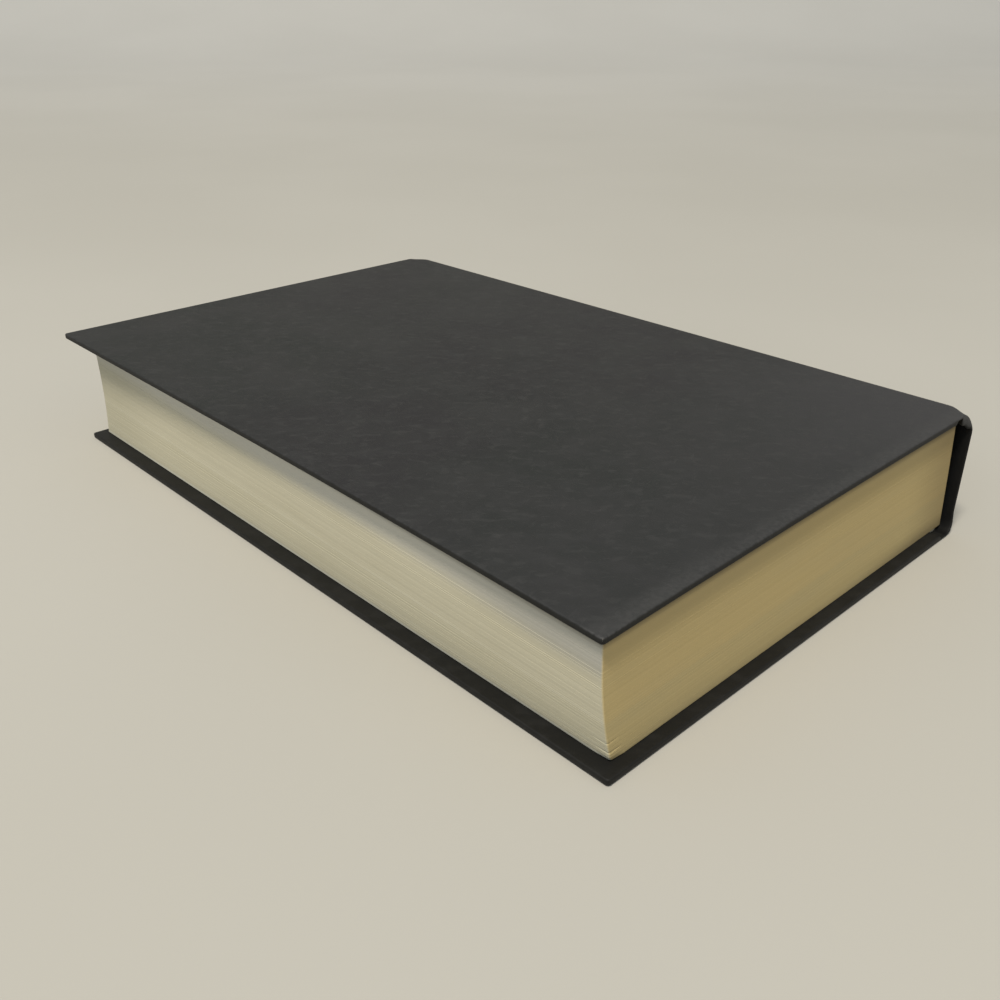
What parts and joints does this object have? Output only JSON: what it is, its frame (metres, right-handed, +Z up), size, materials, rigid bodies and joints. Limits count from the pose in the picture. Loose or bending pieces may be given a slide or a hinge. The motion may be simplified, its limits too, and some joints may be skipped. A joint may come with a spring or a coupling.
{
  "type": "hardback book",
  "caption": "Closed case-bound book with plain dark covers, a hollow spine and a cream page block. Both covers turn at their joints.",
  "frame": {"origin": "middle of the closed book's underside, on the surface that it lies on", "axes": "+X from the spine to the fore-edge, +Y from the tail to the head, +Z up through the front cover"},
  "size_m": [0.143, 0.2234, 0.035],
  "materials": {
    "pages": "uncoated, trimmed edges",
    "lining": "open cloth under brown paper",
    "inlay_card": "plain card",
    "covering": "matt charcoal, fine fibres",
    "board": "grey board",
    "endpaper": "uncoated"
  },
  "bodies": {
    "book_block": {"text_block": "pages", "spine_lining": "lining", "spine_inlay": "inlay_card", "spine_covering": "covering"},
    "front_cover": {"front_board": "board", "front_covering": "covering", "front_pastedown": "endpaper"},
    "back_cover": {"back_board": "board", "back_covering": "covering", "back_pastedown": "endpaper"}
  },
  "joints": [
    {"name": "front_cover_hinge", "type": "hinge", "parent": "book_block", "child": "front_cover", "pos_m": [-0.06415, 0, 0.035], "axis": [0, -1, 0], "range_deg": [0, 180]},
    {"name": "back_cover_hinge", "type": "hinge", "parent": "book_block", "child": "back_cover", "pos_m": [-0.06625, 0, 0], "axis": [0, 1, 0], "range_deg": [0, 180]}
  ]
}
